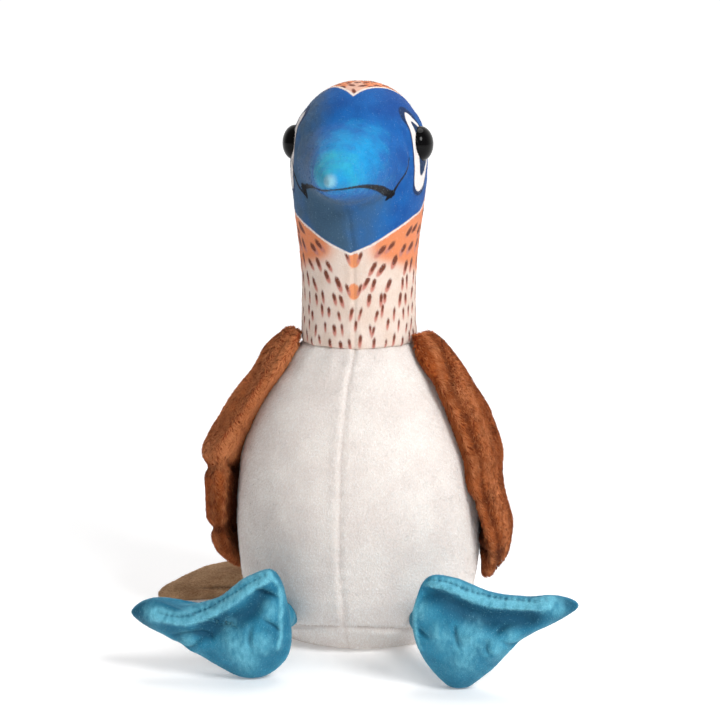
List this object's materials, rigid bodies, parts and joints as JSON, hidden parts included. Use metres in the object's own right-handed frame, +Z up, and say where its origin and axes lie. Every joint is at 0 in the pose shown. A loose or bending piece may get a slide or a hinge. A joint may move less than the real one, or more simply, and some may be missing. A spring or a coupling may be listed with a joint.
{
  "type": "seated plush toy of a blue-footed booby",
  "caption": "Soft sewn plush bird toy that sits upright: white body, brown wings, a printed neck, a blue face with a cone beak, and large webbed feet stood on their heels",
  "frame": {"origin": "middle of the flat seat panel under the body, on the floor", "axes": "+Z up through the head, the bird faces -Y, +X is the bird's own left"},
  "size_m": [0.2215, 0.1738, 0.272],
  "materials": {
    "white_plush": "short white minky pile",
    "brown_plush": "chestnut brown plush with a longer lying pile",
    "tail_plush": "tan brown plush with a short pile",
    "blue_plush": "short smooth velboa, printed in blues with a black mouth line",
    "printed_plush": "short smooth velboa, printed orange to cream with dark specks",
    "teal_plush": "shiny short teal velboa",
    "eye": "glossy black moulded plastic dome"
  },
  "bodies": {
    "root": {"torso": "white_plush", "neck": "printed_plush", "head": "blue_plush", "beak": "blue_plush", "eye_right": "eye", "eye_left": "eye", "wing_right": "brown_plush", "wing_left": "brown_plush", "foot_right": "teal_plush", "foot_left": "teal_plush", "leg_right": "teal_plush", "leg_left": "teal_plush", "tail": "tail_plush"}
  },
  "joints": []
}
